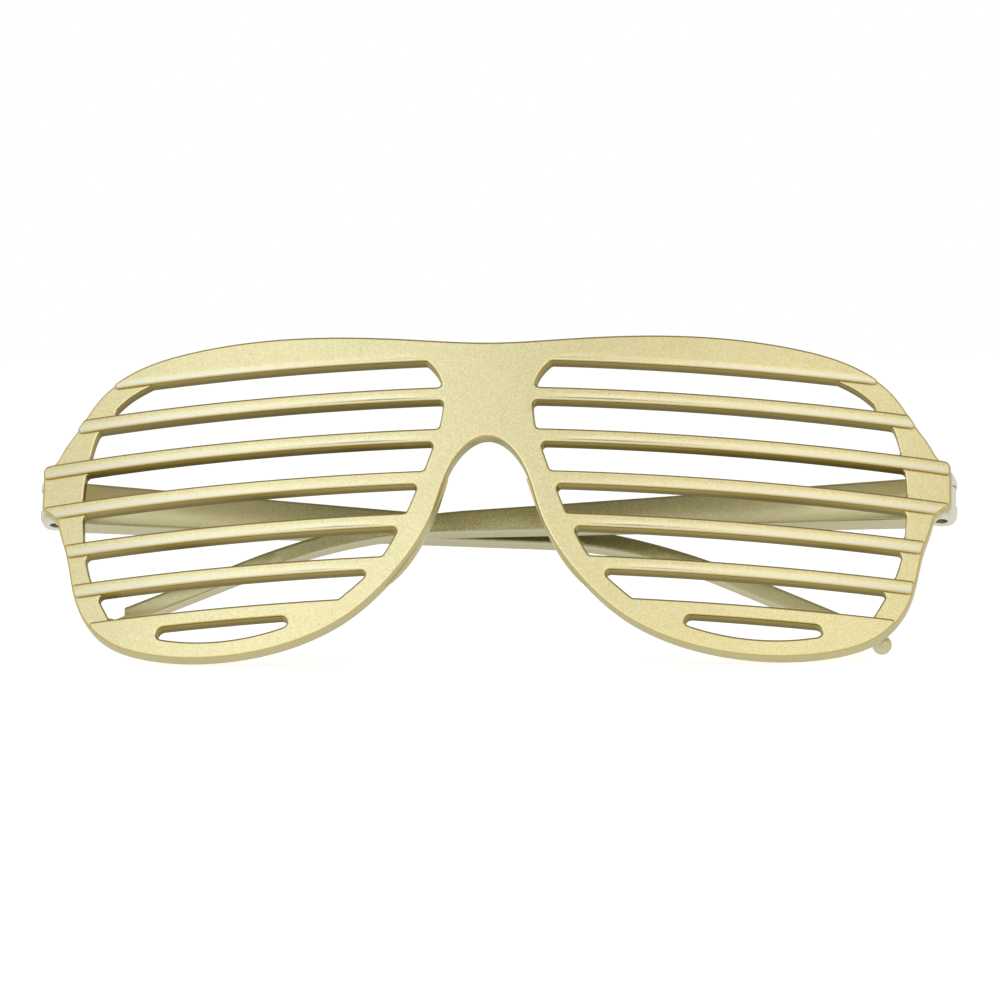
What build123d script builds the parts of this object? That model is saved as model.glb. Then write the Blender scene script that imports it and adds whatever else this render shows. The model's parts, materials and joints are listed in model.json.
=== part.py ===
from build123d import *
import os
from math import asin, cos, degrees, radians, sin

# Slatted novelty glasses, standing folded on their lower rims and one ball tip.
# Millimetres, +Z up, +X to the viewer's right, the front facing -Y.
# Everything is drawn upright first: x across, y back from the face, z up from the top of the third slat.
# The last step leans the whole part back as it stands and sets its lowest point on z = 0.

# Stance
lean_angle = 20.7
left_fold_angle = 3.8
right_fold_angle = -0.7

# Wrap of the front, seen from above
bridge_wrap_radius = 110.0
bridge_wrap_half_width = 12.0
wing_wrap_radius = 200.0
front_depth = 3.5
step_depth = 0.7

# Outline of the front
front_half_width = 75.0
brow_height = 24.25
rim_drop = 29.8
tab_flat = 0.3
tab_corner_radius = 1.0
tab_foot_radius = 1.4

# Slats
slat_count = 5
slats_above_datum = 2
slat_pitch = 7.15
slat_height = 2.35
plate_pitch = 6.95
top_slot_height = 4.5
slot_corner_radius = 0.7

# Small slot in each bottom plate
small_slot_top_gap = 2.4
small_slot_height = 3.3
small_slot_corner_radius = 0.6

# Nose
arch_height = 5.65
pad_width = 2.8
pad_reach = 3.9
pad_top_drop = 1.0
pad_length = 18.0

# Hinge blocks, forked for the leaf of each arm
hinge_inset = 1.7
hinge_reach = 7.05
knuckle_radius = 2.7
block_drop = 1.15
block_height = 7.95
block_top_radius = 2.0
block_low_radius = 1.3
leaf_height = 3.2
leaf_radius = 2.5
leaf_gap = 0.1
leaf_clearance = 0.3

# Hinge screws
screw_radius = 0.7
screw_head_radius = 1.05
screw_head_height = 0.9
screw_head_recess = 0.5
screw_tip_cover = 0.8
screw_slot_width = 0.35
screw_slot_depth = 0.35
running_clearance = 0.05
seat_clearance = 0.02
head_clearance = 0.1

# Arms, seen from the side: s runs along the arm from the pin, h up
arm_root_gap = 0.4
arm_length = 134.5
arm_top_drop = 1.05
arm_root_height = 7.4
ear_length = 37.5
arm_bend_drop = 6.3
arm_bend_height = 3.1
ear_drop = 21.75
ear_tip_height = 3.3
ear_top_radius = 118.0
ear_low_radius = 81.0

# Arms, seen from above
arm_root_thickness = 5.2
arm_mid_thickness = 3.6
arm_ear_thickness = 3.0
arm_edge_radius = 0.6

# Ball on the end of each arm
ball_radius = 1.62
ball_drop = 1.55
neck_length = 2.6
neck_radius = 0.9

# One overrun for every cut and prism that has to pass through
overrun = 20.0

# Shapes of the outlines: shares of the half width, and of the height or drop that each table names
brow_middle_share = 0.903
brow_shares = [
    (0.195, 0.947),
    (0.453, 1.0),
    (0.673, 0.967),
    (0.785, 0.893),
    (0.873, 0.731),
    (0.928, 0.505),
    (0.957, 0.385),
]
tab_shoulder_share = 0.995
brow_end_shares = (1, -0.3)
tab_foot_share = -0.05
rim_shoulder_shares = (0.963, -0.386)
rim_shares = [(0.941, -0.29), (0.914, -0.58), (0.851, -0.815), (0.735, -0.951)]
rim_start_shares = (-0.15, -1)
rim_low_share = 0.58
nose_shares = [(0.428, -0.953), (0.3, -0.815), (0.193, -0.567), (0.116, -0.245), (0.067, 0.073)]
eye_inner_high_shares = [(0.136, 1.0), (0.116, 0.91), (0.104, 0.81), (0.098, 0.627), (0.128, 0.107)]
eye_inner_low_shares = [(0.183, 0.405), (0.247, 0.776), (0.318, 1.0)]
eye_outer_high_shares = [(0.753, 1.0), (0.803, 0.91), (0.844, 0.777), (0.875, 0.617), (0.892, 0.394), (0.902, 0.186)]
eye_outer_low_shares = [(0.903, 0.15), (0.885, 0.593), (0.832, 1.0)]
recess_start_share = 0.5
small_slot_left_shares = [(0.425, 0), (0.432, 0.5)]
small_slot_bow_share = 0.575
small_slot_right_shares = [(0.722, 0.55), (0.724, 0)]
pad_edge_shares = [(0.082, -0.02), (0.115, -0.243), (0.19, -0.567), (0.25, -0.72)]
arm_thin_share = 0.54

# Worked out from the values above
slot_count = slat_count + 1
brow_underside_height = slats_above_datum * slat_pitch + top_slot_height
plate_top = -(slat_count - 1 - slats_above_datum) * slat_pitch - plate_pitch
bridge_wrap_angle = degrees(asin(bridge_wrap_half_width / bridge_wrap_radius))
hinge_half_spacing = front_half_width - hinge_inset
leaf_low = -block_drop + (block_height - leaf_height) / 2
screw_low = -block_drop + screw_head_recess
screw_length = block_height - screw_head_recess - screw_tip_cover
arm_root = knuckle_radius + arm_root_gap
arm_top = block_height - block_drop - arm_top_drop
arm_bend_along = arm_length - ear_length
ball_along = arm_length + neck_length
ball_height = arm_top - ear_drop - ear_tip_height / 2 - ball_drop
ear_axis = knuckle_radius - arm_ear_thickness / 2


def wrap_point(angle, depth):
    """Point of the plan view whose normal stands at this angle, set back behind the face."""
    turn = radians(min(abs(angle), bridge_wrap_angle))
    x = bridge_wrap_radius * sin(turn)
    y = bridge_wrap_radius * (1 - cos(turn))
    tail = radians(abs(angle))
    x += wing_wrap_radius * (sin(tail) - sin(turn)) - depth * sin(tail)
    y += wing_wrap_radius * (cos(turn) - cos(tail)) + depth * cos(tail)
    return (x if angle >= 0 else -x, y)


def wrap_angle_at(x):
    """Angle of the face's normal where it stands x from the middle."""
    turn = radians(bridge_wrap_angle)
    return degrees(asin((x - bridge_wrap_half_width) / wing_wrap_radius + sin(turn)))


hinge_setback = wrap_point(wrap_angle_at(hinge_half_spacing), 0)[1] + hinge_reach


def wrap_arcs(depth):
    """The three arcs of the plan view at one depth, from left to right."""
    end = wrap_angle_at(front_half_width + overrun)
    stops = [-end, -bridge_wrap_angle, bridge_wrap_angle, end]
    arcs = []
    for first, last in zip(stops, stops[1:]):
        middle = (first + last) / 2
        arcs.append(ThreePointArc(wrap_point(first, depth), wrap_point(middle, depth), wrap_point(last, depth)))
    return arcs


def wrap_slab(front, back):
    """Curved slab between two depths behind the face, taller than the front."""
    near, far = wrap_arcs(front), wrap_arcs(back)
    sides = [Line(near[0] @ 0, far[0] @ 0), Line(near[-1] @ 1, far[-1] @ 1)]
    plan = make_face(near + far + sides)
    low = -rim_drop - overrun
    return extrude(Pos(Z=low) * plan, brow_height - low + overrun)


def prism(front_view):
    """Front view drawn as x and z, pushed through the front along y."""
    reach = hinge_setback + pad_reach + overrun
    return extrude(Plane.XZ * front_view, reach, both=True)


def mirrored(shape):
    return mirror(shape, Plane.YZ)


def share_points(shares, height):
    """Points of the front view from shares of the half width and of one height."""
    return [(front_half_width * across, height * up) for across, up in shares]


def round_corner(view, place, radius):
    """Round the one corner of a front view that lies nearest to a place."""
    corner = view.vertices().sort_by_distance(place)[0]
    return fillet(corner, radius)


def front_outline():
    """Right half of the front's outline with the bridge, to be joined to its mirror image."""
    w = front_half_width
    brow_middle = (0, brow_height * brow_middle_share)
    tab_corner = (w, slat_pitch)
    tab_shoulder = (w - tab_corner_radius - tab_flat, slat_pitch * tab_shoulder_share)
    tab_foot = (w, slat_pitch * tab_foot_share)
    rim_shoulder = (w * rim_shoulder_shares[0], slat_pitch * rim_shoulder_shares[1])
    rim_low = (w * rim_low_share, -rim_drop)
    arch_top = (0, arch_height)
    brow_points = [brow_middle] + share_points(brow_shares, brow_height) + [tab_shoulder]
    rim_points = [rim_shoulder] + share_points(rim_shares, rim_drop) + [rim_low]
    nose_points = [rim_low] + share_points(nose_shares, rim_drop) + [arch_top]
    edges = [
        Spline(brow_points, tangents=[(1, 0), brow_end_shares]),
        Line(tab_shoulder, tab_corner),
        Line(tab_corner, tab_foot),
        Line(tab_foot, rim_shoulder),
        Spline(rim_points, tangents=[rim_start_shares, (-1, 0)]),
        Spline(nose_points, tangents=[(-1, 0), (-1, 0)]),
        Line(arch_top, brow_middle),
    ]
    view = make_face(edges)
    view = round_corner(view, tab_corner, tab_corner_radius)
    view = round_corner(view, tab_foot, tab_foot_radius)
    return round_corner(view, rim_shoulder, tab_foot_radius)


def eye_outline():
    """Area of one eye that the slots pass through."""
    high, low = brow_underside_height, plate_top
    inner = Spline(share_points(eye_inner_high_shares, high) + share_points(eye_inner_low_shares, low))
    outer = Spline(share_points(eye_outer_high_shares, high) + share_points(eye_outer_low_shares, low))
    return make_face([inner, Line(inner @ 0, outer @ 0), outer, Line(inner @ 1, outer @ 1)])


def slot_band(number):
    """Height range of one long slot, counted from the top."""
    top_of_slat = (slats_above_datum - number) * slat_pitch
    high = top_of_slat + slat_pitch - slat_height
    if number == 0:
        return top_of_slat, brow_underside_height
    if number == slat_count:
        return plate_top, high
    return top_of_slat, high


def band_view(number, start):
    """Front view of one slot's height range, from x = start to past the outer rim."""
    low, high = slot_band(number)
    end = front_half_width + overrun
    return Pos((start + end) / 2, (low + high) / 2) * Rectangle(end - start, high - low)


def slot_view(number):
    """Front view of one long slot with its rounded corners."""
    view = eye_outline() & band_view(number, 0)
    return fillet(view.vertices(), slot_corner_radius)


def small_slot_view():
    """The short D-shaped slot low in each eye: straight above, bowed below."""
    top = plate_top - small_slot_top_gap
    low = top - small_slot_height
    left = [(x, top + z) for x, z in share_points(small_slot_left_shares, -small_slot_height)]
    right = [(x, top + z) for x, z in share_points(small_slot_right_shares, -small_slot_height)]
    bow = ThreePointArc(left[1], (front_half_width * small_slot_bow_share, low), right[0])
    view = make_face([Line(*left), bow, Line(*right), Line(right[1], left[0])])
    return fillet(view.vertices(), small_slot_corner_radius)


def nose_pad():
    """Ridge behind the nose-side rim, deepest half way down."""
    edge_points = share_points(pad_edge_shares, rim_drop)
    inner = Spline(edge_points)
    outer = Spline([(x + pad_width, z) for x, z in edge_points])
    strip = make_face([inner, outer, Line(inner @ 0, outer @ 0), Line(inner @ 1, outer @ 1)])
    top, low = -pad_top_drop, -pad_top_drop - pad_length
    root = front_depth / 2
    hump = ThreePointArc((root, top), (front_depth + pad_reach, (top + low) / 2), (root, low))
    side = make_face([hump, Line((root, low), (root, top))])
    return prism(strip) & extrude(Plane.YZ * side, front_half_width, both=True)


def hinge_block():
    """Right hinge block before it is forked: a round knuckle carried by a web behind the end piece."""
    inner, outer = hinge_half_spacing - knuckle_radius, hinge_half_spacing + knuckle_radius
    tab_side = wrap_point(wrap_angle_at(front_half_width), front_depth / 2)
    web_inner = wrap_point(wrap_angle_at(inner), front_depth / 2)
    web_points = [web_inner, tab_side, (outer, hinge_setback), (inner, hinge_setback)]
    plan = make_face(Polyline(web_points, close=True)) + Pos(hinge_half_spacing, hinge_setback) * Circle(knuckle_radius)
    block = extrude(Pos(Z=-block_drop) * plan, block_height)
    top_corner = (outer, block_height - block_drop)
    low_corner = (outer, -block_drop)
    view = Pos(inner, (block_height - 2 * block_drop) / 2) * Rectangle(2 * (outer - inner), block_height)
    view = round_corner(view, top_corner, block_top_radius)
    view = round_corner(view, low_corner, block_low_radius)
    return block & prism(view)


def hinge_cuts():
    """Fork slot, screw bore and head recess of the right hinge block."""
    at_pin = Pos(hinge_half_spacing, hinge_setback)
    fork_radius = leaf_radius + leaf_clearance
    fork = at_pin * Circle(fork_radius)
    fork += at_pin * Pos(-overrun / 2, (overrun - fork_radius) / 2) * Rectangle(overrun, overrun + fork_radius)
    fork = extrude(Pos(Z=leaf_low - leaf_gap) * fork, leaf_height + 2 * leaf_gap)
    bore = extrude(Pos(Z=screw_low) * at_pin * Circle(screw_radius + seat_clearance), screw_length)
    recess = at_pin * Circle(screw_head_radius + head_clearance)
    recess = extrude(Pos(Z=-block_drop) * recess, screw_head_recess + screw_head_height)
    return fork + bore + recess


def front_frame():
    """The front: one moulding, with slats, rims, end pieces, nose pads and forked hinge blocks."""
    outline = front_outline()
    body = wrap_slab(0, front_depth) & prism(outline + mirrored(outline))
    raised = wrap_slab(-overrun, step_depth)
    cuts = [prism(small_slot_view())]
    for number in range(slot_count):
        recess = band_view(number, front_half_width * recess_start_share)
        cuts += [prism(slot_view(number)), prism(recess) & raised]
    body -= cuts + [mirrored(cut) for cut in cuts]
    additions = hinge_block() + nose_pad() - hinge_cuts()
    return body + additions + mirrored(additions)


def hinge_screw():
    """Right hinge screw, put in from below, its head sunk in the block."""
    shank = extrude(Circle(screw_radius), screw_length)
    head = extrude(Circle(screw_head_radius), screw_head_height)
    driver_slot = Box(2 * screw_head_radius, screw_slot_width, 2 * screw_slot_depth)
    return Pos(hinge_half_spacing, hinge_setback, screw_low) * (shank + head - driver_slot)


def arm_side_view():
    """Side view of the arm, each edge two straight runs with a round bend between them."""
    bend_top = arm_top - arm_bend_drop
    tip_top = arm_top - ear_drop
    top_points = [(arm_root, arm_top), (arm_bend_along, bend_top), (arm_length, tip_top)]
    low_points = [
        (arm_root, arm_top - arm_root_height),
        (arm_bend_along, bend_top - arm_bend_height),
        (arm_length, tip_top - ear_tip_height),
    ]
    top = FilletPolyline(top_points, radius=ear_top_radius)
    low = FilletPolyline(low_points, radius=ear_low_radius)
    return make_face(top.edges() + low.edges() + [Line(top @ 0, low @ 0), Line(top @ 1, low @ 1)])


def arm_plan_view():
    """Plan of the arm: its outer side flat and level with the hinge block's, its inner side hollowed."""
    outer = knuckle_radius
    root_corner = (arm_root, outer - arm_root_thickness)
    thin_point = (arm_length * arm_thin_share, outer - arm_mid_thickness)
    end_corner = (arm_length, outer - arm_ear_thickness)
    inner_side = ThreePointArc(root_corner, thin_point, end_corner)
    rest = Polyline([end_corner, (arm_length, outer), (arm_root, outer), root_corner])
    return make_face([inner_side] + rest.edges())


def ball_tip():
    """Ball and the short neck that carries it on the end of the arm."""
    ball = Vector(ball_along, ear_axis, ball_height)
    tip = Vector(arm_length - neck_radius, ear_axis, ball_height + ball_drop)
    to_tip = tip - ball
    neck = extrude(Plane(origin=ball, z_dir=to_tip) * Circle(neck_radius), to_tip.length)
    return Pos(ball) * Sphere(ball_radius) + neck


def temple():
    """One arm, drawn from its pin along +X, its outer side towards +Y."""
    low = ball_height - overrun
    slab = extrude(Pos(Z=low) * arm_plan_view(), arm_top - low + overrun)
    arm = slab & extrude(Plane.XZ * arm_side_view(), arm_length, both=True)
    long_edges = arm.edges().filter_by(lambda edge: edge.length > arm_root_height)
    arm = fillet(long_edges, arm_edge_radius)
    tongue = Circle(leaf_radius) + Pos((arm_root + leaf_gap) / 2) * Rectangle(arm_root + leaf_gap, 2 * leaf_radius)
    bore = Circle(screw_radius + running_clearance)
    return arm + ball_tip() + extrude(Pos(Z=leaf_low) * (tongue - bore), leaf_height)


def placed_temples():
    """Both arms in their folded places."""
    arm = temple()
    pin = Pos(-hinge_half_spacing, hinge_setback)
    return pin * Rot(Z=left_fold_angle) * arm, mirrored(pin * Rot(Z=right_fold_angle) * arm)


def standing(parts):
    """Lean every piece back and put the lowest point on z = 0, middle over the origin."""
    leaned = {name: Rot(X=-lean_angle) * piece for name, piece in parts.items()}
    boxes = [piece.bounding_box() for piece in leaned.values()]
    front = min(box.min.Y for box in boxes)
    back = max(box.max.Y for box in boxes)
    floor = min(box.min.Z for box in boxes)
    shift = Pos(0, -(front + back) / 2, -floor)
    return {name: shift * piece for name, piece in leaned.items()}, shift


def main():
    left_temple, right_temple = placed_temples()
    screw = hinge_screw()
    parts = {
        "front_frame": front_frame(),
        "left_temple": left_temple,
        "right_temple": right_temple,
        "left_hinge_screw": mirrored(screw),
        "right_hinge_screw": screw,
    }
    placed, shift = standing(parts)
    os.makedirs("parts", exist_ok=True)
    for name, piece in placed.items():
        export_step(piece, f"parts/{name}.step")
        print(name, "volume", round(piece.volume, 1), "solids", len(piece.solids()))
    print("shift", shift.position, "pin", round(hinge_half_spacing, 3), round(hinge_setback, 3))


main()
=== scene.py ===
import json
from cmath import phase
from math import acos, atan2, cos, degrees, pi, radians, sin, sqrt, tan

import bmesh
import bpy
import numpy as np
from mathutils import Matrix, Vector


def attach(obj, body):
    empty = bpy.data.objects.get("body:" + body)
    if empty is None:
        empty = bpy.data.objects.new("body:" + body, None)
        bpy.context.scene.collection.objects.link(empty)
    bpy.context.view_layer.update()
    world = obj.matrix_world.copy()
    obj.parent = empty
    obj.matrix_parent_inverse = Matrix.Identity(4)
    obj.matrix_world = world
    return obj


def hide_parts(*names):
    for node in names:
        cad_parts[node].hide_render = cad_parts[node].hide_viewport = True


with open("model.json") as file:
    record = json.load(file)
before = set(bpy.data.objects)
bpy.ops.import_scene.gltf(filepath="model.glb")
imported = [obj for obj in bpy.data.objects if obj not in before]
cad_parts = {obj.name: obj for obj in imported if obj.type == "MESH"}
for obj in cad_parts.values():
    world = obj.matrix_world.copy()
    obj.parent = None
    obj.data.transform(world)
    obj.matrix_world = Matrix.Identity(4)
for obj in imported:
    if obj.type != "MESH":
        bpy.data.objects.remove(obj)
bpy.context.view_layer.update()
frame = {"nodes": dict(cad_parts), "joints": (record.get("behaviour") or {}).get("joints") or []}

# Slatted novelty glasses, standing folded. The front is rebuilt here with its rounded edges, from the
# sizes of the moulding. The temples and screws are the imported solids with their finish.
# Shapes are drawn upright in millimetres: x across, y back from the face, z up from the third slat's top.

MM = 0.001

# Wrap of the front, seen from above
bridge_wrap_radius = 110.0
bridge_wrap_half_width = 12.0
wing_wrap_radius = 200.0
front_depth = 3.5
step_depth = 0.7

# Outline of the front
front_half_width = 75.0
brow_height = 24.25
rim_drop = 29.8
tab_flat = 0.3
tab_corner_radius = 1.0
tab_foot_radius = 1.4

# Slats
slat_count = 5
slats_above_datum = 2
slat_pitch = 7.15
slat_height = 2.35
plate_pitch = 6.95
top_slot_height = 4.5
slot_corner_radius = 0.7

# Small slot in each bottom plate
small_slot_top_gap = 2.4
small_slot_height = 3.3
small_slot_corner_radius = 1.1

# Nose
arch_height = 5.65
pad_width = 2.8
pad_reach = 3.9
pad_top_drop = 1.0
pad_length = 18.0
pad_root_depth = 2.0
pad_cross_steps = 12
pad_crest_share = 0.7

# Rounding that the mould gives every edge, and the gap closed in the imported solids' meshes
face_edge_radius = 0.4
rim_edge_radius = 0.35
back_edge_radius = 0.4
slat_tip_radius = 0.6
rounding_steps = 4
layer_inset = 0.03
temple_edge_radius = 0.4
weld_gap = 0.001

# Hinge
hinge_half_spacing = 73.3
hinge_setback = 24.603
hinge_pin_height = 2.825
knuckle_radius = 2.7
block_reach = 5.4
block_drop = 1.15
block_height = 7.95

# Shallow curves: soft along the lower edge of the brow and the slats, a crown along the slats' upper edge
soft_height = 1.35
soft_depth = 0.22
crown_height = 0.9
crown_depth = 0.05
soft_fade = 5.0
soft_steps = 4

# Surfaces that meet at less than this angle shade as one and get no edge radius
sharp_angle = 35.0

# Lacquer: flakes, cloudiness, orange peel and gloss. Real flakes are a few hundredths of a millimetre
# wide. They are drawn coarser, so that their sparkle shows at all.
flake_size = 0.16
flake_tilt = 0.07
front_flake_share = 0.75
temple_flake_share = 0.55
front_cloud_size = (9.0, 9.0, 9.0)
temple_cloud_size = (30.0, 2.6, 2.6)
cloud_detail = 3.0
peel_size = 0.9
peel_depth = 0.02
peel_strength = 0.1
lacquer_metallic = 0.85
lacquer_ior = 1.55
lacquer_roughness = 0.34
roughness_spread = 0.04
binder_gloss = 0.25
coat_weight = 0.15
coat_roughness = 0.16
glancing_tone = "#D6D3B5"
front_pale_tone = "#EEE5B6"
front_deep_tone = "#D4C892"
temple_pale_tone = "#B3AC81"
temple_deep_tone = "#746F49"

# Where the lacquer on the front changes, and where light and shade are painted on it: how far the surface
# faces up, down or ahead, then millimetres
up_start = 0.03
up_full = 0.2
down_start = 0.01
down_full = 0.11
face_facing = 0.94
edge_facing = 0.65
wall_facing = 0.25
# The slot walls darken from the first depth to the second: painted shade deep in the slots
brown_depth = 0.6
deepest_shade_depth = 2.2
outline_reach = 1.2
block_depth = 1.6
block_fade = 1.6

# What it changes to there, and how far
# Deeper gold where the face turns up is painted shade, standing for the darker reflection from overhead
upward_shade_tone = "#C8B26C"
# Paler tone on the soft strips that turn down is a painted highlight
strip_highlight_tone = "#D9D6C0"
strip_highlight_paleness = 0.85
# Darker gilt on the rounded edges is painted shade
edge_shade_tone = "#BFA557"
# Olive brown of the walls is partly thin lacquer and partly painted shade, darkening deeper in the slots as
# painted shade
wall_tone = "#A59249"
wall_deep_shade_tone = "#6E5F2C"
# Walls by the outline stay paler, without the painted shade of the slots
outline_tone = "#C3BC98"
block_tone = "#E2E1D6"

# The same for the temples
arm_middle = 15.0
arm_end = 62.0
# Paler tone towards both ends of the temples is painted light
lit_arm_end_tone = "#DDD5A8"
lit_arm_end_paleness = 0.6
under_start = 0.3
under_full = 0.85
underside_tone = "#C8C4AC"
underside_paleness = 0.75
leaf_fade = 0.8

# Steel of the screws
turning_mark = 0.08
turning_strength = 0.3
steel_roughness = 0.42
steel_dark_tone = "#55544F"
steel_pale_tone = "#7A7870"

# Detail of the finest noises: orange peel and turning marks
fine_detail = 2.0

# Stage
white = (1, 1, 1, 1)
paper_grain = 0.6
paper_lift = 0.65
paper_dark_tone = "#F2F2F2"
paper_pale_tone = "#F7F7F7"
floor_half_width = 3000.0
floor_cells = 8
room_level = 0.7
ceiling_start = 0.45
ceiling_full = 0.9
ceiling_level = 0.3

# Lamps: name, place from the frame's origin, width and height in millimetres, power in watts, tint
lamps = [
    ("window_front_left", (-440, -1000, 600), 1300, 620, 2.3, "#ECF4FF"),
    ("fill_front_right", (620, -980, 600), 900, 500, 1.05, "#FFF4DC"),
]

# How finely curves and the wrap are cut, and the fewest points that a piece of curve gets
curve_step = 0.5
corner_step = curve_step / 3
wrap_step = 1.5
least_curve_points = 2
least_arc_points = 3
least_corner_points = 4

# Turn of a path, in degrees, from which it is a corner to round
corner_turn = 25.0

# Inset of a path: lower limit of one plus the cosine of a corner's turn, which keeps sharp mitres short,
# and the share of the distance that a point must keep from the path
mitre_limit = 0.2
clear_share = 0.999

# Points closer than these gaps count as one, and slivers thinner than this melt
path_gap = 0.01
pad_gap = 0.005
cut_gap = 0.0015
sliver_width = 0.003

# Sockets of the mix node: its share, its two values, its two colours, and the colour that it gives
mix_share = 0
value_a = 2
value_b = 3
colour_a = 6
colour_b = 7
mixed_colour = 2

# The sRGB curve: a straight foot, then a power curve
srgb_foot = 0.04045
srgb_foot_slope = 12.92
srgb_offset = 0.055
srgb_power = 2.4

# Shapes of the outlines: shares of the half width, and of the height or drop that each table names
brow_middle_share = 0.903
brow_shares = [
    (0.195, 0.947),
    (0.453, 1.0),
    (0.673, 0.967),
    (0.785, 0.893),
    (0.873, 0.731),
    (0.928, 0.505),
    (0.957, 0.385),
]
tab_shoulder_share = 0.995
brow_end_shares = (1, -0.3)
tab_foot_share = -0.05
rim_shoulder_shares = (0.963, -0.386)
rim_shares = [(0.941, -0.29), (0.914, -0.58), (0.851, -0.815), (0.735, -0.951)]
rim_start_shares = (-0.15, -1)
rim_low_share = 0.58
nose_shares = [(0.428, -0.953), (0.3, -0.815), (0.193, -0.567), (0.116, -0.245), (0.067, 0.073)]
eye_inner_high_shares = [(0.136, 1.0), (0.116, 0.91), (0.104, 0.81), (0.098, 0.627), (0.128, 0.107)]
eye_inner_low_shares = [(0.183, 0.405), (0.247, 0.776), (0.318, 1.0)]
eye_outer_high_shares = [
    (0.753, 1.0),
    (0.803, 0.91),
    (0.844, 0.777),
    (0.875, 0.617),
    (0.892, 0.394),
    (0.902, 0.186),
]
eye_outer_low_shares = [(0.903, 0.15), (0.885, 0.593), (0.832, 1.0)]
small_slot_left_shares = [(0.425, 0), (0.432, 0.5)]
small_slot_bow_share = 0.575
small_slot_right_shares = [(0.722, 0.55), (0.724, 0)]
pad_edge_shares = [(0.082, -0.02), (0.115, -0.243), (0.19, -0.567), (0.25, -0.72)]

# Camera: distance from the front's datum, turns in degrees against the upright front, offsets from the
# datum in millimetres, pixels per millimetre, pixels along the picture, sensor width in millimetres, and
# the near and far limits of its view in metres
camera_distance = 1200.0
camera_rise = 18.6
camera_yaw = -4.3779
camera_roll = -1.1132
camera_aside = -2.3112
camera_above = 5.0391
picture_scale = 6.16284
picture_side = 1000
sensor_width = 36.0
camera_near = 0.05
camera_far = 50.0

# Worked out from the values above
slot_count = slat_count + 1
brow_underside_height = slats_above_datum * slat_pitch + top_slot_height
plate_top = -(slat_count - 1 - slats_above_datum) * slat_pitch - plate_pitch
wrap_turn = bridge_wrap_half_width / bridge_wrap_radius
wrap_rise = sqrt(1 - wrap_turn * wrap_turn)
wing_centre_x = bridge_wrap_half_width - wing_wrap_radius * wrap_turn
wing_centre_y = bridge_wrap_radius * (1 - wrap_rise) + wing_wrap_radius * wrap_rise


def lean_and_shift():
    """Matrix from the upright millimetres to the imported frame's metres, read off the right hinge."""
    joint = next(j for j in frame["joints"] if j["name"] == "right_temple_fold")
    axis = -Vector(joint["axis"])
    turn = Matrix.Rotation(-atan2(axis.y, axis.z), 4, "X")
    pin = Vector((hinge_half_spacing, hinge_setback, hinge_pin_height))
    shift = Vector(joint["pos_m"]) - turn @ pin * MM
    return Matrix.Translation(shift) @ turn @ Matrix.Scale(MM, 4)


to_frame = lean_and_shift()


# Curves of the front view

def share_points(shares, height):
    """Points of the front view from shares of the half width and of one height."""
    return [(front_half_width * across, height * up) for across, up in shares]


def spline(points, start=None, end=None):
    """Smooth curve through the points, its bend running on from piece to piece."""
    p = np.array(points, float)
    h = np.linalg.norm(np.diff(p, axis=0), axis=1)
    count = len(p)
    rows, right = np.zeros((count, count)), np.zeros((count, 2))
    for i in range(1, count - 1):
        rows[i, i - 1 : i + 2] = 1 / h[i - 1], 2 / h[i - 1] + 2 / h[i], 1 / h[i]
        right[i] = 3 * (p[i] - p[i - 1]) / h[i - 1] ** 2 + 3 * (p[i + 1] - p[i]) / h[i] ** 2
    for i, j, tangent in ((0, 1, start), (count - 1, count - 2, end)):
        if tangent:
            rows[i, i] = 1
            right[i] = np.array(tangent, float) / np.hypot(*tangent)
        else:
            rows[i, i], rows[i, j] = 2, 1
            right[i] = 3 * (p[max(i, j)] - p[min(i, j)]) / h[min(i, j)]
    slopes = np.linalg.solve(rows, right)
    out = []
    for i in range(count - 1):
        steps = max(least_curve_points, round(h[i] / curve_step))
        for t in np.linspace(0, 1, steps, endpoint=False):
            ease = t * t * (3 - 2 * t)
            lead, trail = h[i] * t * (1 - t) ** 2, h[i] * t * t * (t - 1)
            between = p[i] * (1 - ease) + p[i + 1] * ease
            out.append(tuple(between + slopes[i] * lead + slopes[i + 1] * trail))
    return out + [tuple(points[-1])]


def arc_through(first, middle, last):
    """Points of the circle's arc through three points."""
    a, b, c = (complex(*q) for q in (first, middle, last))
    w = (c - a) / (b - a)
    centre = (b - a) * (w - abs(w) ** 2) / (2j * w.imag) + a
    low, mid, high = (phase(q - centre) for q in (a, b, c))
    while mid < low:
        mid += 2 * pi
    while high < low:
        high += 2 * pi
    if mid > high:
        high -= 2 * pi
    radius = abs(a - centre)
    count = max(least_arc_points, round(abs(high - low) * radius / curve_step))
    turns = np.linspace(low, high, count)
    return [(centre.real + radius * cos(t), centre.imag + radius * sin(t)) for t in turns]


def walk(path, start, length, step):
    """Point and direction at a length from a corner of a closed path, and the corners passed on the way."""
    here, passed = np.array(path[start]), []
    index = start
    while True:
        index = (index + step) % len(path)
        there = np.array(path[index])
        gap = np.linalg.norm(there - here)
        if gap >= length:
            way = (there - here) / gap
            return here + way * length, way, passed
        length -= gap
        passed.append(index)
        here = there


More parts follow.
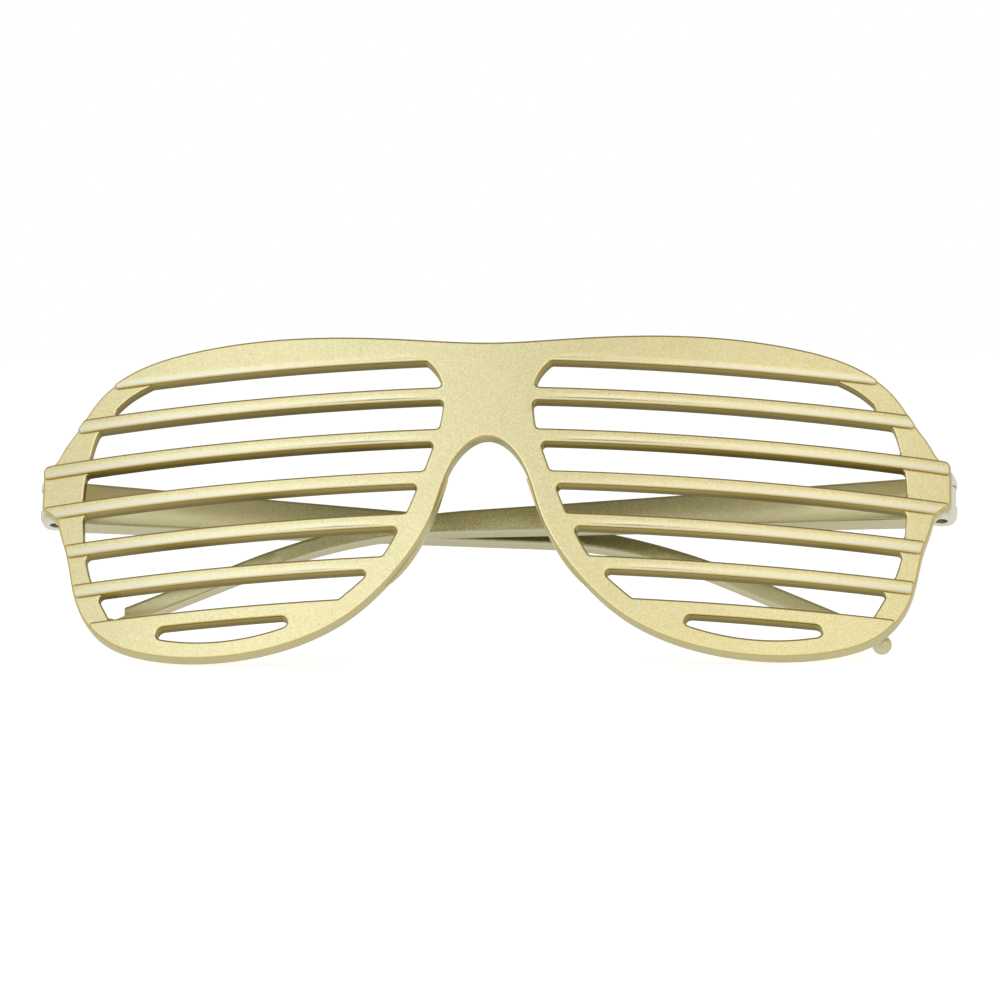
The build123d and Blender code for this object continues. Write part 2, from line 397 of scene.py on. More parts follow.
def ease_corner(path, index, radius):
    """Replace one corner of a closed path with a round bend."""
    before = np.array(path[index]) - np.array(path[index - 1])
    after = np.array(path[(index + 1) % len(path)]) - np.array(path[index])
    turn = acos(np.clip(before @ after / np.linalg.norm(before) / np.linalg.norm(after), -1, 1))
    reach = radius * tan(turn / 2)
    first, back, passed_back = walk(path, index, reach, -1)
    last, ahead, passed_ahead = walk(path, index, reach, 1)
    handle = radius * 4 / 3 * tan(turn / 4)
    control = [first, first - back * handle, last - ahead * handle, last]
    count = max(least_corner_points, round(turn * radius / corner_step))
    bend = []
    for t in np.linspace(0, 1, count):
        weights = ((1 - t) ** 3, 3 * t * (1 - t) ** 2, 3 * t * t * (1 - t), t**3)
        bend.append(tuple(sum(w * c for w, c in zip(weights, control))))
    gone = set(passed_back + passed_ahead + [index])
    others = [(index + k) % len(path) for k in range(1, len(path))]
    return bend + [path[k] for k in others if k not in gone]


def turning(path, index):
    """Signed turn of a closed path at one of its points, in degrees, positive to the left."""
    before = complex(*path[index]) - complex(*path[index - 1])
    after = complex(*path[(index + 1) % len(path)]) - complex(*path[index])
    return degrees(phase(after / before))


def ease_corners(path, left_radius, right_radius):
    """Round every sharp corner of a closed path, left and right turns each with their own radius."""
    while True:
        corners = [i for i in range(len(path)) if abs(turning(path, i)) > corner_turn]
        if not corners:
            return path
        index = corners[0]
        path = ease_corner(path, index, left_radius if turning(path, index) > 0 else right_radius)


def ease_near(path, place, radius):
    """Round the corner of a closed path that lies nearest to a place."""
    index = min(range(len(path)), key=lambda i: abs(complex(*path[i]) - complex(*place)))
    return ease_corner(path, index, radius)


def area(path):
    """Area inside a closed path, negative if it keeps the inside on its right."""
    return sum(a[0] * b[1] - b[0] * a[1] for a, b in zip(path, path[1:] + path[:1])) / 2


def clean(path):
    """Closed path without doubled points."""
    out = []
    for q in path:
        if not out or abs(complex(*q) - complex(*out[-1])) > path_gap:
            out.append(q)
    if abs(complex(*out[0]) - complex(*out[-1])) < path_gap:
        out.pop()
    return out


def turned(path, sense):
    """The closed path with its points in the wanted sense: 1 keeps what it encloses on the left."""
    return path if area(path) * sense > 0 else path[::-1]


# Front view of the moulding

def half_outline():
    """Right half of the outline, from the brow's middle round the tab and the rim to the nose arch."""
    w = front_half_width
    tab_corner = (w, slat_pitch)
    tab_shoulder = (w - tab_corner_radius - tab_flat, slat_pitch * tab_shoulder_share)
    tab_foot = (w, slat_pitch * tab_foot_share)
    rim_shoulder = (w * rim_shoulder_shares[0], slat_pitch * rim_shoulder_shares[1])
    brow_middle = (0, brow_height * brow_middle_share)
    rim_low = (w * rim_low_share, -rim_drop)
    brow = [brow_middle, *share_points(brow_shares, brow_height), tab_shoulder]
    rim = [rim_shoulder, *share_points(rim_shares, rim_drop), rim_low]
    nose = [rim_low, *share_points(nose_shares, rim_drop), (0, arch_height)]
    path = spline(brow, (1, 0), brow_end_shares) + [tab_corner, tab_foot]
    path += spline(rim, rim_start_shares, (-1, 0)) + spline(nose, (-1, 0), (-1, 0))
    path = clean(path)
    for place, radius in (
        (tab_corner, tab_corner_radius),
        (tab_foot, tab_foot_radius),
        (rim_shoulder, tab_foot_radius),
    ):
        path = ease_near(path, place, radius)
    top = min(range(len(path)), key=lambda i: abs(complex(*path[i]) - complex(*brow_middle)))
    return path[top:] + path[:top]


def mirrored(path):
    """A path's mirror image on the other side, run the other way."""
    return [(-x, z) for x, z in reversed(path)]


def whole(half):
    """Closed path of the whole front from its right half."""
    return clean(half + mirrored(half))


def slot_band(number):
    """Height range of one long slot, counted from the top."""
    low = (slats_above_datum - number) * slat_pitch
    high = brow_underside_height if number == 0 else low + slat_pitch - slat_height
    return (plate_top if number == slat_count else low), high


def crossing(path, height):
    """Index and point where a path that runs downwards passes a height."""
    for i, (a, b) in enumerate(zip(path, path[1:])):
        if a[1] >= height > b[1]:
            share = (a[1] - height) / (a[1] - b[1])
            return i, (a[0] + (b[0] - a[0]) * share, height)


def stretch(path, high, low):
    """The part of a downward path between two heights."""
    first, start = crossing(path, high)
    last, stop = crossing(path, low)
    return [start] + path[first + 1 : last + 1] + [stop]


def eye_side(high_shares, low_shares):
    """One side of the eye, run past its top and bottom."""
    high = share_points(high_shares, brow_underside_height)
    path = spline(high + share_points(low_shares, plate_top))
    top, low = path[0], path[-1]
    return [(top[0], top[1] + curve_step)] + path + [(low[0], low[1] - curve_step)]


eye_inner = eye_side(eye_inner_high_shares, eye_inner_low_shares)
eye_outer = eye_side(eye_outer_high_shares, eye_outer_low_shares)


def slot_path(number):
    """Closed outline of one long slot with its rounded corners."""
    low, high = slot_band(number)
    path = stretch(eye_inner, high, low) + stretch(eye_outer, high, low)[::-1]
    return ease_corners(clean(path), slot_corner_radius, slot_corner_radius)


def small_slot_path():
    """The short D-shaped slot low in each eye: straight above, bowed below."""
    top = plate_top - small_slot_top_gap
    left = [(x, top + z) for x, z in share_points(small_slot_left_shares, -small_slot_height)]
    right = [(x, top + z) for x, z in share_points(small_slot_right_shares, -small_slot_height)]
    lowest = (front_half_width * small_slot_bow_share, top - small_slot_height)
    path = clean([left[0], *arc_through(left[1], lowest, right[0]), right[1]])
    return ease_corners(path, small_slot_corner_radius, small_slot_corner_radius)


def raised_path():
    """Outline of the raised face: the front with every slot run out through the rim, like a comb."""
    half = half_outline()
    for number in range(slot_count):
        low, high = slot_band(number)
        first, start = crossing(half, high)
        last, stop = crossing(half, low)
        half = half[: first + 1] + [start] + stretch(eye_inner, high, low) + [stop] + half[last + 1 :]
    path = turned(whole(half), 1)
    return ease_corners(path, slat_tip_radius, slot_corner_radius)


# Plates with rounded edges

def inset(path, distance):
    """A closed path moved to its left. At too narrow a tip, points gather between their neighbours."""
    p = np.array(path)
    before = p - np.roll(p, 1, axis=0)
    after = np.roll(p, -1, axis=0) - p
    length = np.linalg.norm(after, axis=1)[:, None]
    ahead = after / length
    normal = before / np.roll(length, 1, axis=0) + ahead
    normal = np.stack([-normal[:, 1], normal[:, 0]], axis=1)
    normal /= np.maximum((normal**2).sum(axis=1) / 2, mitre_limit)[:, None]
    moved = p + normal * distance
    to_point = moved[:, None] - p[None]
    along = np.clip((to_point * ahead[None]).sum(axis=2), 0, length[:, 0][None])
    gap = np.linalg.norm(to_point - ahead[None] * along[:, :, None], axis=2).min(axis=1)
    fair = np.flatnonzero(gap >= distance * clear_share)
    for here, there in zip(fair, np.append(fair[1:], fair[0] + len(p))):
        for index in range(here + 1, there):
            share = (index - here) / (there - here)
            moved[index % len(p)] = moved[here] * (1 - share) + moved[there % len(p)] * share
    return [tuple(q) for q in moved]


def plate(loops, near, far, near_radius, far_radius):
    """Solid plate between two depths, its rims rounded. Each loop keeps the material on its left."""
    rings = []
    for step in range(rounding_steps + 1):
        turn = pi / 2 * step / rounding_steps
        rings.append((near_radius * (1 - sin(turn)), near + near_radius * (1 - cos(turn))))
    for step in range(rounding_steps, -1, -1):
        turn = pi / 2 * step / rounding_steps
        rings.append((far_radius * (1 - sin(turn)), far - far_radius * (1 - cos(turn))))
    bm = bmesh.new()
    caps = ([], [])
    for loop in loops:
        rows = []
        for distance, depth in rings:
            rows.append([bm.verts.new((x, depth, z)) for x, z in inset(loop, distance)])
        for number, (upper, lower) in enumerate(zip(rows, rows[1:])):
            for i in range(len(loop)):
                j = (i + 1) % len(loop)
                face = bm.faces.new((upper[i], lower[i], lower[j], upper[j]))
                face.material_index = int(number != rounding_steps)
        for cap, row in zip(caps, (rows[0], rows[-1])):
            cap += [bm.edges.get((row[i], row[i - 1])) for i in range(len(row))]
    for cap in caps:
        bmesh.ops.triangle_fill(bm, edges=cap, use_beauty=True)
    bmesh.ops.recalc_face_normals(bm, faces=bm.faces)
    return bm


def everything(bm):
    """All points, edges and faces of a mesh."""
    return [*bm.verts, *bm.edges, *bm.faces]


def cut_across(bm, place, direction):
    """Cut every face that a plane crosses."""
    bmesh.ops.bisect_plane(bm, geom=everything(bm), dist=cut_gap, plane_co=place, plane_no=direction)


def cut_for_wrap(bm):
    """Cut a flat mesh across at even steps, so that it can follow the wrap."""
    half = front_half_width
    for x in np.arange(-half, half + wrap_step, wrap_step):
        cut_across(bm, (x, 0, 0), (1, 0, 0))


def turn_back(bm, edge, height, depth):
    """Turn the face back in a shallow curve towards a level edge, from below if the height is negative."""
    for step in range(1, soft_steps + 1):
        cut_across(bm, (0, 0, edge + height * step / soft_steps), (0, 0, 1))
    inner_end = crossing(eye_inner, edge)[1][0]
    for vert in bm.verts:
        share = 1 - (vert.co.z - edge) / height
        level = 1 - vert.co.y / face_edge_radius
        if 0 < share <= 1 + layer_inset and level > 0:
            fade = min(max((abs(vert.co.x) - inner_end) / soft_fade, 0), 1)
            vert.co.y += depth * share**2 * level * fade * fade * (3 - 2 * fade)


def crown_slats(bm):
    """Give the brow its soft lower edge and each slat its crown, softer below than above."""
    for number in range(slot_count):
        low, high = slot_band(number)
        turn_back(bm, high, soft_height, soft_depth)
        if number < slot_count - 1:
            turn_back(bm, low, -crown_height, crown_depth)


def wrap_y(x, depth):
    """How far back a point lies that is set back behind the wrapped face."""
    x = abs(x)
    radius = bridge_wrap_radius - depth
    if x <= radius * wrap_turn:
        return bridge_wrap_radius - sqrt(radius**2 - x**2)
    return wing_centre_y - sqrt((wing_wrap_radius - depth) ** 2 - (x - wing_centre_x) ** 2)


def depth_at(x, y):
    """How deep behind the wrapped face a point lies, the inverse of wrap_y."""
    x = abs(x)
    if atan2(x, bridge_wrap_radius - y) <= atan2(wrap_turn, wrap_rise):
        return bridge_wrap_radius - sqrt(x**2 + (bridge_wrap_radius - y) ** 2)
    return wing_wrap_radius - sqrt((x - wing_centre_x) ** 2 + (wing_centre_y - y) ** 2)


def wrap(bm):
    """Bend a flat mesh, whose y is depth behind the face, to the wrap of the front."""
    for vert in bm.verts:
        vert.co.y = wrap_y(vert.co.x, vert.co.y)


def made(name, bm):
    """New object from a mesh in upright millimetres, still unplaced."""
    mesh = bpy.data.meshes.new(name)
    bm.to_mesh(mesh)
    bm.free()
    obj = bpy.data.objects.new(name, mesh)
    bpy.context.scene.collection.objects.link(obj)
    return obj


def combined(base, other, operation):
    """Join or cut base by other, which is used up."""
    change = base.modifiers.new("change", "BOOLEAN")
    change.operation, change.solver, change.object = operation, "MANIFOLD", other
    result = bpy.data.meshes.new_from_object(base.evaluated_get(bpy.context.evaluated_depsgraph_get()))
    base.modifiers.clear()
    base.data = result
    bpy.data.objects.remove(other)
    return base


def raised_plate():
    """Brow, bridge, nose-side rims, slats and bottom plates: all that stands at the face's full height."""
    loops = [raised_path()]
    slot = small_slot_path()
    loops += [turned(slot, -1), turned(mirrored(slot), -1)]
    loops = [inset(loop, layer_inset) for loop in loops]
    return plate(loops, 0, (front_depth + step_depth) / 2, face_edge_radius, layer_inset)


def ground_plate():
    """The whole front at the level of the recessed outer rim, with every slot through it."""
    loops = [turned(whole(half_outline()), 1)]
    for slot in [slot_path(number) for number in range(slot_count)] + [small_slot_path()]:
        loops += [turned(slot, -1), turned(mirrored(slot), -1)]
    return plate(loops, step_depth, front_depth, rim_edge_radius, back_edge_radius)


def front_moulding():
    """The front, one moulding with rounded edges."""
    raised, ground = raised_plate(), ground_plate()
    crown_slats(raised)
    cut_for_wrap(raised)
    cut_for_wrap(ground)
    front = combined(made("front", ground), made("raised", raised), "UNION")
    bm = bmesh.new()
    bm.from_mesh(front.data)
    wrap(bm)
    bm.to_mesh(front.data)
    bm.free()
    return front


def nose_pad():
    """Soft ridge behind the right nose-side rim, deepest half way down, rooted in the moulding."""
    edge = spline(share_points(pad_edge_shares, rim_drop))
    top, low = -pad_top_drop, -pad_top_drop - pad_length
    edge = stretch(edge, top, low)
    bm = bmesh.new()
    rows = []
    for x, z in edge:
        along = 2 * (z - top) / (low - top) - 1
        hump = (front_depth + pad_reach - pad_root_depth) * sqrt(max(1 - along * along, 0))
        row = []
        for step in range(pad_cross_steps + 1):
            turn = pi * step / pad_cross_steps
            across = pad_width / 2 * (1 - cos(turn))
            crest = hump * sin(turn) ** pad_crest_share
            row.append(bm.verts.new((x + across, pad_root_depth + crest, z)))
        rows.append(row)
    for upper, lower in zip(rows, rows[1:]):
        for i in range(pad_cross_steps):
            bm.faces.new((upper[i], upper[i + 1], lower[i + 1], lower[i]))
    for upper, lower in zip(rows, rows[1:]):
        bm.faces.new((upper[-1], upper[0], lower[0], lower[-1]))
    bmesh.ops.remove_doubles(bm, verts=bm.verts, dist=pad_gap)
    bmesh.ops.holes_fill(bm, edges=[e for e in bm.edges if e.is_boundary])
    return bm


def add_mirror_image(bm):
    """Turn a right-hand mesh the right way out and add its left-hand copy."""
    bmesh.ops.recalc_face_normals(bm, faces=bm.faces)
    if bm.calc_volume(signed=True) < 0:
        bmesh.ops.reverse_faces(bm, faces=bm.faces)
    twin = bmesh.ops.duplicate(bm, geom=everything(bm))["geom"]
    for vert in (g for g in twin if isinstance(g, bmesh.types.BMVert)):
        vert.co.x = -vert.co.x
    bmesh.ops.reverse_faces(bm, faces=[g for g in twin if isinstance(g, bmesh.types.BMFace)])


def block_room():
    """Space behind the end piece that holds one hinge block, from inside the moulding past the knuckle."""
    inner, outer = hinge_half_spacing - knuckle_radius, hinge_half_spacing + block_reach
    low, high = -block_drop, block_height - block_drop
    loop = [(inner, low), (outer, low), (outer, high), (inner, high)]
    return plate([loop], pad_root_depth, hinge_setback + knuckle_radius, layer_inset, layer_inset)


def hinge_blocks():
    """Both forked blocks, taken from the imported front."""
    bm = bmesh.new()
    bm.from_mesh(frame["nodes"]["front_frame"].data)
    bmesh.ops.transform(bm, matrix=to_frame.inverted(), verts=bm.verts)
    bmesh.ops.remove_doubles(bm, verts=bm.verts, dist=weld_gap)
    blocks = made("blocks", bm)
    room = block_room()
    add_mirror_image(room)
    cut_for_wrap(room)
    wrap(room)
    return combined(blocks, made("room", room), "INTERSECT")


def finished_front():
    """The whole front in its place."""
    front = front_moulding()
    pads = nose_pad()
    add_mirror_image(pads)
    wrap(pads)
    front = combined(front, made("pads", pads), "UNION")
    front = combined(front, hinge_blocks(), "UNION")
    melt_slivers(front.data)
    note_places(front.data)
    even_normals(front.data)
    front.data.transform(to_frame)
    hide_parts("front_frame")
    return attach(front, "front")


def soften_edges(temple):
    """Small radius along the edges of a temple, as the mould and the lacquer leave it."""
    weld = temple.modifiers.new("one skin", "WELD")
    weld.merge_threshold = weld_gap * MM
    bevel = temple.modifiers.new("edge radius", "BEVEL")
    bevel.width, bevel.segments = temple_edge_radius * MM, rounding_steps
    bevel.limit_method, bevel.angle_limit = "ANGLE", radians(sharp_angle)
    bevel.use_clamp_overlap, bevel.miter_outer = True, "MITER_ARC"
    bevel.harden_normals = True


def melt_slivers(mesh):
    """Melt the slivers that the cuts leave, thinner than any edge that shows."""
    bm = bmesh.new()
    bm.from_mesh(mesh)
    bmesh.ops.dissolve_degenerate(bm, edges=bm.edges, dist=sliver_width)
    bm.to_mesh(mesh)
    bm.free()


def note_places(mesh):
    """Keep with each point its depth, and whether it is by the outline, on a soft strip, where a highlight
    is painted, or on a block.
    """
    depth = np.array([depth_at(v.co.x, v.co.y) for v in mesh.vertices])
    across = np.array([abs(v.co.x) for v in mesh.vertices])
    height = np.array([v.co.z for v in mesh.vertices])
    gap = np.full(len(across), front_half_width)
    for x, z in half_outline():
        gap = np.minimum(gap, np.hypot(across - x, height - z))
    behind = np.clip((depth - block_depth) / block_fade, 0, 1)
    behind[(across < hinge_half_spacing - block_reach) | (height < -block_drop - block_fade)] = 0
    outer = (gap < outline_reach).astype(float)
    # Soft strips along the lower edges of the brow and slats, where a highlight is painted
    strip = np.zeros(len(depth))
    for number in range(slot_count):
        edge = slot_band(number)[1]
        start = crossing(eye_inner, edge)[1][0]
        within = (height > edge - layer_inset) & (height < edge + soft_height - layer_inset)
        strip = np.maximum(strip, within * np.clip((across - start) / soft_fade, 0, 1))
    for name, value in (
        ("depth_mm", depth),
        ("by_outline", outer),
        ("highlight_strip", strip),
        ("on_block", behind),
    ):
        mesh.attributes.new(name, "FLOAT", "POINT").data.foreach_set("value", value)


def even_normals(mesh):
    """Shade roundings smoothly into faces and walls that stay even, and keep real edges sharp."""
    alike = cos(radians(sharp_angle))
    faces = mesh.polygons
    normals, sizes = [f.normal.copy() for f in faces], [f.area for f in faces]
    rounded = [f.material_index for f in faces]
    around = [[] for _ in mesh.vertices]
    for face in faces:
        for index in face.vertices:
            around[index].append(face.index)
    corners = []
    for face in faces:
        for index in face.vertices:
            near = [f for f in around[index] if normals[f].dot(normals[face.index]) > alike]
            even = [f for f in near if not rounded[f]]
            corners.append(sum((normals[f] * sizes[f] for f in even or near), Vector()).normalized())
    mesh.shade_smooth()
    mesh.normals_split_custom_set(corners)
    faces.foreach_set("material_index", [0] * len(faces))


# Finishes

def colour(text):
    """Linear colour from an sRGB hex value."""
    out = []
    for i in (1, 3, 5):
        part = int(text[i : i + 2], 16) / 255
        if part <= srgb_foot:
            out.append(part / srgb_foot_slope)
        else:
            out.append(((part + srgb_offset) / (1 + srgb_offset)) ** srgb_power)
    return out + [1.0]


def add(tree, kind, settings=None, links=None):
    """Add a node: settings are its properties or sockets' values, links the outputs that feed it."""
    node = tree.nodes.new(kind)
    for name, value in (settings or {}).items():
        if isinstance(name, str) and hasattr(node, name):
            setattr(node, name, value)
        else:
            node.inputs[name].default_value = value
    for name, source in (links or {}).items():
        tree.links.new(source, node.inputs[name])
    return node


def new_material(name):
    """Material and its empty node tree."""
    material = bpy.data.materials.new(name)
    material.use_nodes = True
    material.node_tree.nodes.clear()
    return material, material.node_tree


def per_mm(size):
    """Pattern scale for a feature of a size in millimetres, in a frame in metres."""
    return 1 / (size * MM)


def facing_share(tree, way):
    """How far the surface faces a way of the upright drawing, from minus one to one."""
    normal = add(tree, "ShaderNodeTexCoord").outputs["Normal"]
    turned_way = to_frame.to_3x3().normalized() @ Vector(way)
    along = add(tree, "ShaderNodeVectorMath", {"operation": "DOT_PRODUCT", 1: turned_way}, {0: normal})
    return along.outputs["Value"]


def coated(tree, tone, value, start, end, coat, most=1.0):
    """A tone under a coat that fades in as a value passes from start to end. Each may be a fixed colour."""
    share = add(
        tree,
        "ShaderNodeMapRange",
        {"interpolation_type": "SMOOTHSTEP", "From Min": start, "From Max": end, "To Max": most},
        {0: value},
    )
    settings, links = {"data_type": "RGBA"}, {mix_share: share.outputs[0]}
    for socket, source in ((colour_a, tone), (colour_b, coat)):
        (settings if isinstance(source, list) else links)[socket] = source
    return add(tree, "ShaderNodeMix", settings, links).outputs[mixed_colour]


def front_coats(tree, tone):
    """Lacquer on the front, partly as spray from the front leaves it and partly painted light and shade.

    It is deeper gold where the face turns up, a painted shade, whiter along the soft strips that turn down,
    a painted highlight, and a darker gilt on the rounded edges, a painted shade. It is thin and olive brown
    inside the slots and darker deeper in, partly painted shade, paler round the outline and silvery on the
    hinge blocks.
    """
    back = facing_share(tree, (0, 1, 0))
    facing = add(tree, "ShaderNodeMath", {"operation": "ABSOLUTE"}, {0: back}).outputs[0]
    rise = facing_share(tree, (0, 0, 1))
    depth, outer, strip, block = (
        add(tree, "ShaderNodeAttribute", {"attribute_name": name}).outputs["Fac"]
        for name in ("depth_mm", "by_outline", "highlight_strip", "on_block")
    )
    # Down-facing share of the soft strips, where the highlight is painted
    low = add(tree, "ShaderNodeMath", {"operation": "MULTIPLY"}, {0: rise, 1: strip}).outputs[0]
    # Painted shade: the walls darken deeper in the slots, and by the outline they stay paler
    wall = coated(tree, colour(wall_tone), depth, brown_depth, deepest_shade_depth, colour(wall_deep_shade_tone))
    wall = coated(tree, wall, outer, 0.0, 1.0, colour(outline_tone))
    # Painted shade where the face turns up
    tone = coated(tree, tone, rise, up_start, up_full, colour(upward_shade_tone))
    # Painted highlight along the soft strips that turn down
    tone = coated(tree, tone, low, -down_start, -down_full, colour(strip_highlight_tone), strip_highlight_paleness)
    # Painted shade on the rounded edges
    tone = coated(tree, tone, facing, face_facing, edge_facing, colour(edge_shade_tone))
    tone = coated(tree, tone, facing, edge_facing, wall_facing, wall)
    return coated(tree, tone, block, 0.0, 1.0, colour(block_tone))


def temple_coats(tree, tone):
    """Lacquer on the temples: paler towards both ends as painted light, silvery underneath and round the
    hinge leaf.
    """
    place = add(tree, "ShaderNodeTexCoord").outputs["Object"]
    side = add(tree, "ShaderNodeSeparateXYZ", {}, {0: place}).outputs["X"]
    across = add(tree, "ShaderNodeMath", {"operation": "ABSOLUTE"}, {0: side}).outputs[0]
    rise = facing_share(tree, (0, 0, 1))
    leaf_start = hinge_half_spacing - knuckle_radius - leaf_fade
    leaf_full = leaf_start + leaf_fade
    ends, under = colour(lit_arm_end_tone), colour(underside_tone)
    # Painted light: paler towards both ends
    tone = coated(tree, tone, across, arm_middle * MM, arm_end * MM, ends, lit_arm_end_paleness)
    tone = coated(tree, tone, rise, -under_start, -under_full, under, underside_paleness)
    return coated(tree, tone, across, leaf_start * MM, leaf_full * MM, colour(block_tone))


def champagne_lacquer(name, pale, deep, flake_share, cloud_size, coats):
    """Champagne metallic lacquer, sprayed on moulded ABS.

    Fine aluminium flakes in a straw-coloured binder. They give a satin metal sheen that dulls a little at a
    glancing angle, a fine sparkle, and no sharp reflections. The spray gun leaves a faint cloudiness and
    orange peel.
    """
    material, tree = new_material(name)
    place = add(tree, "ShaderNodeTexCoord").outputs["Object"]
    flakes = add(tree, "ShaderNodeTexVoronoi", {"Scale": per_mm(flake_size)}, {"Vector": place})
    flow = add(tree, "ShaderNodeMapping", {"Scale": [1 / size for size in cloud_size]}, {"Vector": place})
    cloud = add(
        tree,
        "ShaderNodeTexNoise",
        {"Scale": per_mm(1), "Detail": cloud_detail},
        {"Vector": flow.outputs[0]},
    )
    peel = add(
        tree,
        "ShaderNodeTexNoise",
        {"Scale": per_mm(peel_size), "Detail": fine_detail},
        {"Vector": place},
    )
    flake = add(tree, "ShaderNodeSeparateColor", {}, {"Color": flakes.outputs["Color"]})
    tone = add(
        tree,
        "ShaderNodeMix",
        {"data_type": "FLOAT", mix_share: flake_share},
        {value_a: cloud.outputs["Fac"], value_b: flake.outputs["Red"]},
    )
    base = add(
        tree,
        "ShaderNodeMix",
        {"data_type": "RGBA", colour_a: colour(deep), colour_b: colour(pale)},
        {mix_share: tone.outputs[0]},
    )
    body = coats(tree, base.outputs[mixed_colour])
    peeled = add(
        tree,
        "ShaderNodeBump",
        {"Strength": peel_strength, "Distance": peel_depth * MM},
        {"Height": peel.outputs["Fac"]},
    )
    tilted = add(
        tree,
        "ShaderNodeBump",
        {"Strength": flake_tilt, "Distance": flake_size * MM},
        {"Height": flake.outputs["Green"], "Normal": peeled.outputs[0]},
    )
    satin = add(
        tree,
        "ShaderNodeMapRange",
        {"To Min": lacquer_roughness - roughness_spread, "To Max": lacquer_roughness + roughness_spread},
        {"Value": flake.outputs["Blue"]},
    )
    shader = add(
        tree,
        "ShaderNodeBsdfPrincipled",
        {
            "Metallic": lacquer_metallic,
            "Specular IOR Level": binder_gloss,
            "Specular Tint": colour(glancing_tone),
            "Coat Weight": coat_weight,
            "Coat Roughness": coat_roughness,
            "Coat IOR": lacquer_ior,
        },
        {"Base Color": body, "Normal": tilted.outputs[0], "Roughness": satin.outputs[0]},
    )
    add(tree, "ShaderNodeOutputMaterial", {}, {"Surface": shader.outputs[0]})
    return material


def zinc_plated_steel():
    """Turned steel, zinc plated: a dull grey metal with a fine mottle of plating and turning marks."""
    material, tree = new_material("zinc_plated_turned_steel")
    place = add(tree, "ShaderNodeTexCoord").outputs["Object"]
    marks = add(
        tree,
        "ShaderNodeTexNoise",
        {"Scale": per_mm(turning_mark), "Detail": fine_detail},
        {"Vector": place},
    )
    bump = add(
        tree,
        "ShaderNodeBump",
        {"Strength": turning_strength, "Distance": turning_mark * MM},
        {"Height": marks.outputs["Fac"]},
    )
    tone = add(
        tree,
        "ShaderNodeMix",
        {"data_type": "RGBA", colour_a: colour(steel_dark_tone), colour_b: colour(steel_pale_tone)},
        {mix_share: marks.outputs["Fac"]},
    )
    shader = add(
        tree,
        "ShaderNodeBsdfPrincipled",
        {"Metallic": 1.0, "Roughness": steel_roughness},
        {"Base Color": tone.outputs[mixed_colour], "Normal": bump.outputs[0]},
    )
    add(tree, "ShaderNodeOutputMaterial", {}, {"Surface": shader.outputs[0]})
    return material


def dress(obj, material):
    """Give an object one material."""
    obj.data.materials.clear()
    obj.data.materials.append(material)


# Stage

def seen_directly(tree):
    """One for rays from the camera, from gloss and through glass, nought for light that only spreads."""
    path = add(tree, "ShaderNodeLightPath").outputs
    seen = path["Is Camera Ray"]
    for name in ("Is Glossy Ray", "Is Transmission Ray"):
        either = add(tree, "ShaderNodeMath", {"operation": "MAXIMUM"}, {0: seen, 1: path[name]})
        seen = either.outputs[0]
    return seen


def paper_floor():
    """Matt white paper, lifted to the white of the ground where it is seen, with its shadow kept."""
    material, tree = new_material("matt_white_paper_sheet")
    grain = add(tree, "ShaderNodeTexNoise", {"Scale": per_mm(paper_grain)})
    tone = add(
        tree,
        "ShaderNodeMix",
        {"data_type": "RGBA", colour_a: colour(paper_dark_tone), colour_b: colour(paper_pale_tone)},
        {mix_share: grain.outputs["Fac"]},
    )
    paper = add(tree, "ShaderNodeBsdfDiffuse", {}, {"Color": tone.outputs[mixed_colour]})
    lift = add(tree, "ShaderNodeMath", {"operation": "MULTIPLY", 1: paper_lift}, {0: seen_directly(tree)})
    glow = add(tree, "ShaderNodeEmission", {"Color": white}, {"Strength": lift.outputs[0]})
    both = add(tree, "ShaderNodeAddShader", {}, {0: paper.outputs[0], 1: glow.outputs[0]})
    add(tree, "ShaderNodeOutputMaterial", {}, {"Surface": both.outputs[0]})
    bm = bmesh.new()
    bmesh.ops.create_grid(bm, x_segments=floor_cells, y_segments=floor_cells, size=floor_half_width * MM)
    floor = made("floor", bm)
    dress(floor, material)


def studio():
    """White surroundings: full where they are seen, lower where they light, and lowest overhead."""
    world = bpy.data.worlds.new("studio")
    bpy.context.scene.world = world
    world.use_nodes = True
    tree = world.node_tree
    tree.nodes.clear()
    seen = seen_directly(tree)
    level = add(tree, "ShaderNodeMapRange", {"To Min": room_level, "To Max": 1.0}, {"Value": seen})
    way = add(tree, "ShaderNodeTexCoord").outputs["Generated"]
    up = add(tree, "ShaderNodeSeparateXYZ", {}, {0: way})
    ceiling = add(
        tree,
        "ShaderNodeMapRange",
        {"From Min": ceiling_start, "From Max": ceiling_full, "To Min": 1.0, "To Max": ceiling_level},
        {"Value": up.outputs["Z"]},
    )
    both = {0: level.outputs[0], 1: ceiling.outputs[0]}
    strength = add(tree, "ShaderNodeMath", {"operation": "MULTIPLY"}, both)
    back = add(tree, "ShaderNodeBackground", {"Color": white}, {"Strength": strength.outputs[0]})
    add(tree, "ShaderNodeOutputWorld", {}, {"Surface": back.outputs[0]})


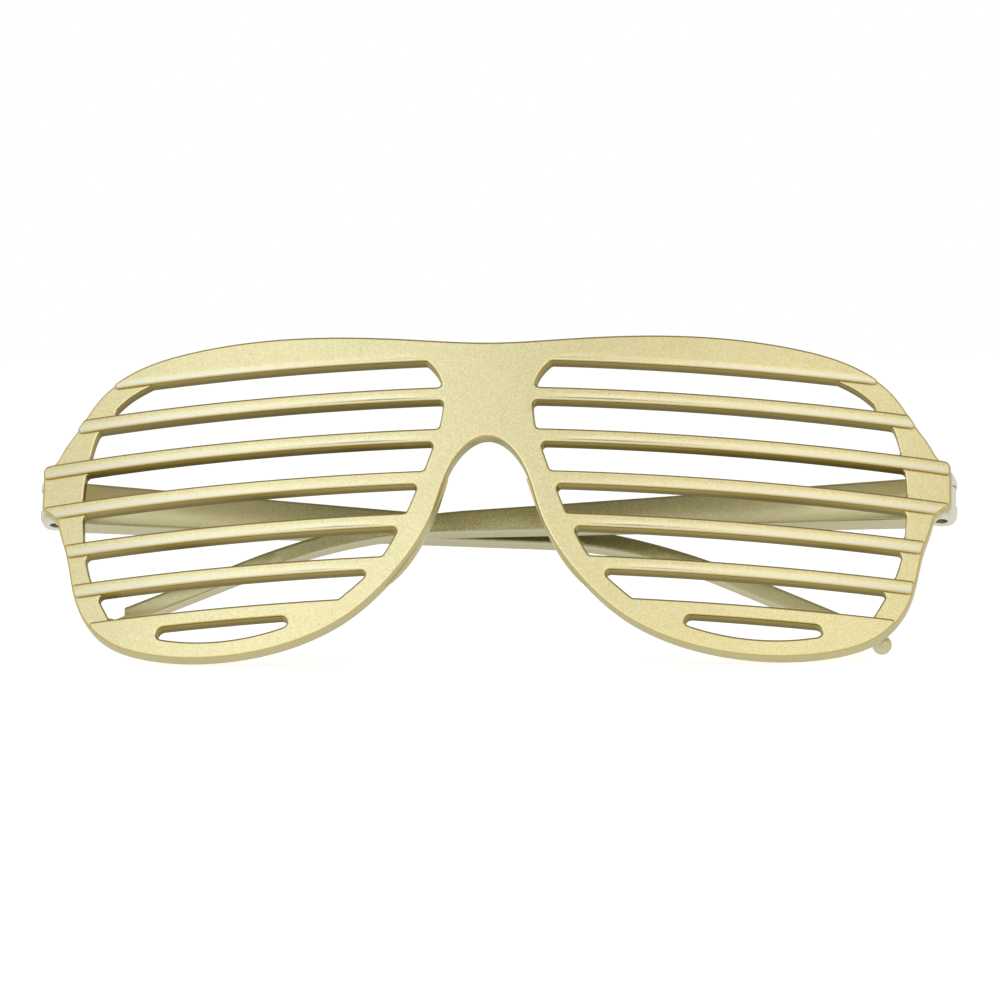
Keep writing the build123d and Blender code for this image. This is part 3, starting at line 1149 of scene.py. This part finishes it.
def softbox(name, place, width, height, power, tint):
    """Area lamp aimed at the front's datum, its place and size in millimetres."""
    data = bpy.data.lights.new(name, "AREA")
    data.shape, data.size, data.size_y, data.energy = "RECTANGLE", width * MM, height * MM, power
    data.color = colour(tint)[:3]
    obj = bpy.data.objects.new(name, data)
    bpy.context.scene.collection.objects.link(obj)
    obj.location = Vector(place) * MM
    aim = to_frame @ Vector((0, 0, 0))
    obj.rotation_euler = (aim - obj.location).to_track_quat("-Z", "Y").to_euler()


# Camera

def camera():
    """Camera at the photograph's place, aimed by its offsets from the front's datum."""
    rise, yaw, roll = radians(camera_rise), radians(camera_yaw), radians(camera_roll)
    ahead = Vector((0, cos(rise), sin(rise)))
    up = Vector((0, -sin(rise), cos(rise)))
    right = Vector((1, 0, 0))
    centre = -ahead * camera_distance - right * camera_aside - up * camera_above
    side = right * cos(roll) - up * sin(roll)
    top = right * sin(roll) + up * cos(roll)
    turn = Matrix.Rotation(-yaw, 3, "Z")
    axes = Matrix((turn @ side, turn @ top, turn @ -ahead)).transposed()
    data = bpy.data.cameras.new("camera")
    data.sensor_width = sensor_width
    data.lens = camera_distance * picture_scale / picture_side * sensor_width
    data.clip_start, data.clip_end = camera_near, camera_far
    obj = bpy.data.objects.new("camera", data)
    bpy.context.scene.collection.objects.link(obj)
    place = to_frame @ (turn @ centre)
    obj.matrix_world = Matrix.Translation(place) @ (to_frame.to_3x3().normalized() @ axes).to_4x4()
    bpy.context.scene.camera = obj


front = finished_front()
front_paint = champagne_lacquer(
    "champagne_lacquer_on_moulded_abs",
    front_pale_tone,
    front_deep_tone,
    front_flake_share,
    front_cloud_size,
    front_coats,
)
dress(front, front_paint)
arm_paint = champagne_lacquer(
    "champagne_lacquer_on_moulded_abs_temples",
    temple_pale_tone,
    temple_deep_tone,
    temple_flake_share,
    temple_cloud_size,
    temple_coats,
)
for name in ("left_temple", "right_temple"):
    soften_edges(frame["nodes"][name])
    dress(frame["nodes"][name], arm_paint)
steel = zinc_plated_steel()
for name in ("left_hinge_screw", "right_hinge_screw"):
    dress(frame["nodes"][name], steel)

paper_floor()
studio()
for lamp in lamps:
    softbox(*lamp)
camera()

bpy.context.scene.view_settings.view_transform = "Standard"
